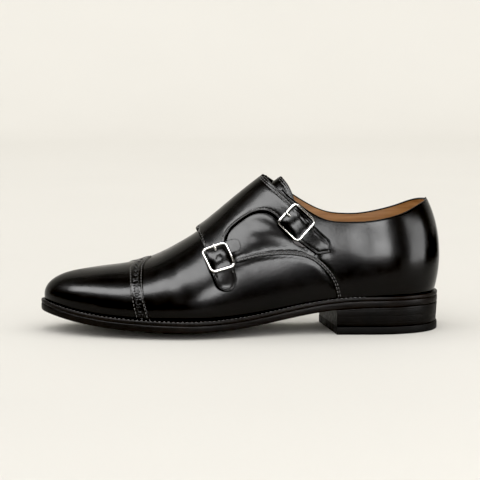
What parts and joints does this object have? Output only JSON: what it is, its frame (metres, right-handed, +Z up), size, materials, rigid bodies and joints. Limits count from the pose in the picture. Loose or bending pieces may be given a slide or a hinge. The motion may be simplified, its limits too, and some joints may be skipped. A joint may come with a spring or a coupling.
{
  "type": "monk strap shoe",
  "caption": "Left leather monk strap shoe with a brogued toe cap, an instep flap with buckled straps, a welted sole and a stacked heel.",
  "frame": {"origin": "centre of the heel's flat bottom, on the floor", "axes": "+Z up, toe towards -X, heel towards +X, outer side of this left shoe towards -Y"},
  "size_m": [0.3032, 0.102, 0.1178],
  "materials": {
    "upper_leather": "polished black calf",
    "lining_leather": "matt tan lining",
    "sole_leather": "black stained and waxed edge",
    "heel_rubber": "matt black",
    "buckle_metal": "polished nickel plate"
  },
  "bodies": {
    "root": {"upper": "upper_leather", "toe_cap": "upper_leather", "quarter_outer": "upper_leather", "quarter_inner_with_straps": "upper_leather", "tongue": "upper_leather", "insole": "lining_leather", "welt": "sole_leather", "outsole": "sole_leather", "heel_stack": "sole_leather", "heel_top_piece": "heel_rubber", "buckle_frame_lower": "buckle_metal", "buckle_prong_lower": "buckle_metal", "buckle_frame_upper": "buckle_metal", "buckle_prong_upper": "buckle_metal"}
  },
  "joints": []
}
